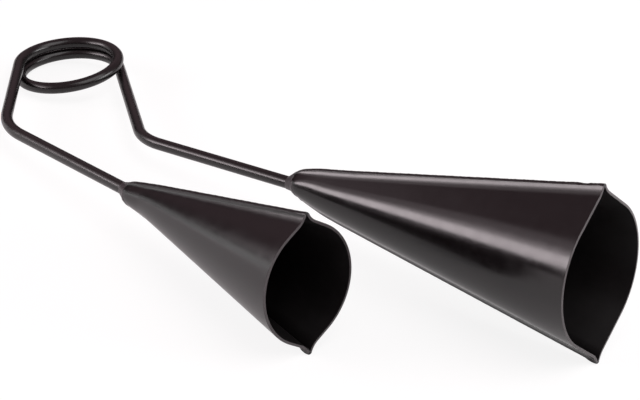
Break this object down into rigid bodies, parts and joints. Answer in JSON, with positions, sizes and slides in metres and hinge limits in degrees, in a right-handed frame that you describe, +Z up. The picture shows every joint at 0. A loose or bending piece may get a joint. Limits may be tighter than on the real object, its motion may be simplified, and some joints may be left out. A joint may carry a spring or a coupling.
{
  "type": "agogo bell",
  "caption": "Hand percussion bell with a small and a large conical seamed sheet-steel bell on a bent steel rod, coiled into a spring so that the bells can be squeezed together.",
  "frame": {"origin": "centre of the underside of the bounding box, on the table that the part lies on", "axes": "+X from the spring coil towards the bells' mouths, +Y towards the large bell's side, +Z up from the table"},
  "size_m": [0.3878, 0.1484, 0.0825],
  "materials": {
    "bell_coat": "black powder coat, semi-gloss",
    "rod_coat": "black powder coat, semi-gloss",
    "weld_coat": "black powder coat over rough weld, duller"
  },
  "bodies": {
    "large_bell_side": {"spring_coil": "rod_coat", "large_bell_arm": "rod_coat", "large_bell_left_shell": "bell_coat", "large_bell_right_shell": "bell_coat", "large_bell_upper_seam_weld": "weld_coat", "large_bell_lower_seam_weld": "weld_coat", "large_bell_neck_weld": "weld_coat"},
    "small_bell_side": {"small_bell_arm": "rod_coat", "small_bell_left_shell": "bell_coat", "small_bell_right_shell": "bell_coat", "small_bell_upper_seam_weld": "weld_coat", "small_bell_lower_seam_weld": "weld_coat", "small_bell_neck_weld": "weld_coat"}
  },
  "joints": [
    {"name": "spring_squeeze", "type": "hinge", "parent": "large_bell_side", "child": "small_bell_side", "pos_m": [-0.16413, 0.04436, 0.00908], "axis": [-0.1057, -0.108, 0.9885], "range_deg": [-3, 8], "stiffness_Nm_per_rad": 45, "deforming": ["spring_coil"]}
  ]
}
